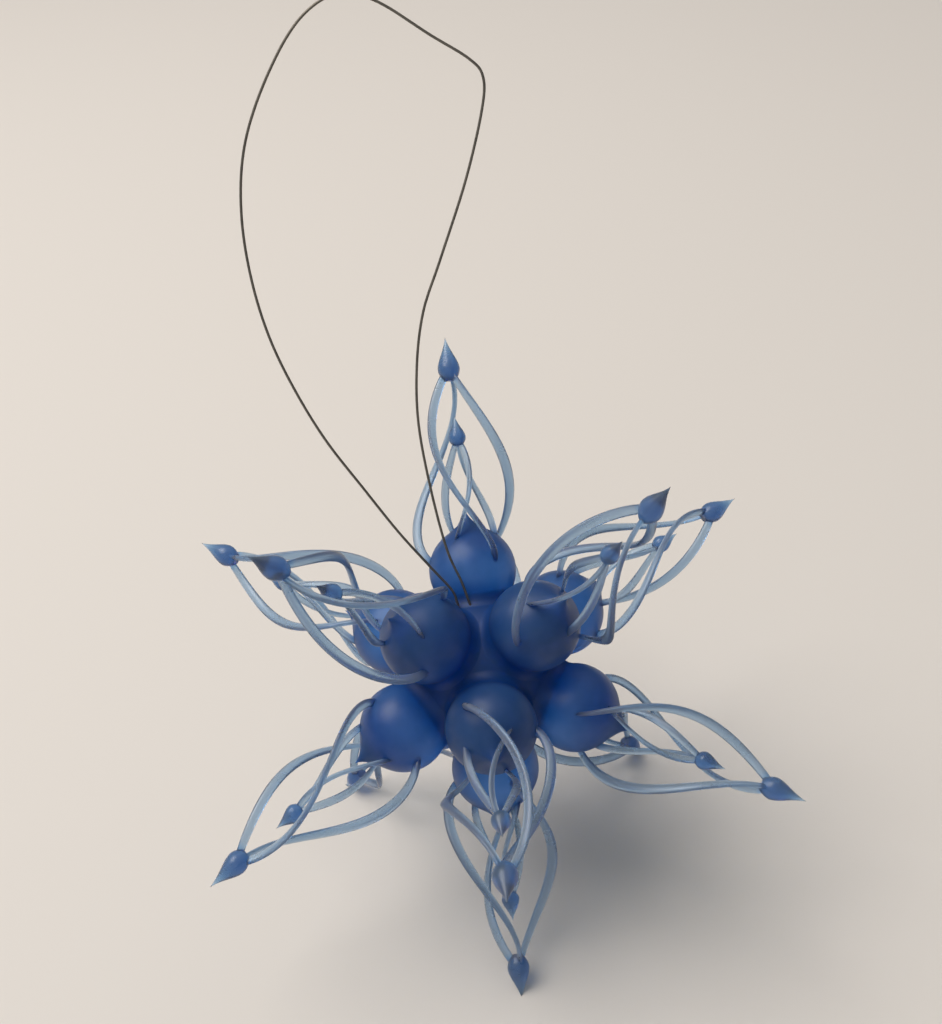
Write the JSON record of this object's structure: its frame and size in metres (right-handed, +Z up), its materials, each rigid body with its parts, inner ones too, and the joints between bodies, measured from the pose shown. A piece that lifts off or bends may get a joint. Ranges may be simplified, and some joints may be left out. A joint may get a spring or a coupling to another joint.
{
  "type": "star ornament",
  "caption": "Hanging star ornament of translucent resin: onion-bulb points around a core, each under two cages of oppositely twisted ribs ending in beads, on a swinging wire loop.",
  "frame": {"origin": "on the surface the star stands on, under the middle of its box", "axes": "+Z up, -Y towards the viewer of the picture, +X to the right; the star stands on its three lowest tips"},
  "size_m": [0.0682, 0.0786, 0.103],
  "materials": {
    "blue_resin": "translucent, satin",
    "rib_resin": "translucent, satin",
    "dark_wire": "dark, dull"
  },
  "bodies": {
    "star": {"core": "blue_resin", "bulb_top_left": "blue_resin", "inner_cage_top_left": "rib_resin", "outer_cage_top_left": "rib_resin", "bulb_top_right": "blue_resin", "inner_cage_top_right": "rib_resin", "outer_cage_top_right": "rib_resin", "bulb_top_back": "blue_resin", "inner_cage_top_back": "rib_resin", "outer_cage_top_back": "rib_resin", "bulb_upper_front": "blue_resin", "inner_cage_upper_front": "rib_resin", "outer_cage_upper_front": "rib_resin", "bulb_upper_left": "blue_resin", "inner_cage_upper_left": "rib_resin", "outer_cage_upper_left": "rib_resin", "bulb_upper_right": "blue_resin", "inner_cage_upper_right": "rib_resin", "outer_cage_upper_right": "rib_resin", "bulb_lower_back": "blue_resin", "inner_cage_lower_back": "rib_resin", "outer_cage_lower_back": "rib_resin", "bulb_lower_left": "blue_resin", "inner_cage_lower_left": "rib_resin", "outer_cage_lower_left": "rib_resin", "bulb_lower_right": "blue_resin", "inner_cage_lower_right": "rib_resin", "outer_cage_lower_right": "rib_resin", "bulb_base_front": "blue_resin", "inner_cage_base_front": "rib_resin", "outer_cage_base_front": "rib_resin", "bulb_base_left": "blue_resin", "inner_cage_base_left": "rib_resin", "outer_cage_base_left": "rib_resin", "bulb_base_right": "blue_resin", "inner_cage_base_right": "rib_resin", "outer_cage_base_right": "rib_resin"},
    "hanger": {"hanger_wire": "dark_wire"}
  },
  "joints": [
    {"name": "hanger_swing", "type": "hinge", "parent": "star", "child": "hanger", "pos_m": [-0.0018, 0.00088, 0.04004], "axis": [1, 0, 0], "range_deg": [0, 38]}
  ]
}
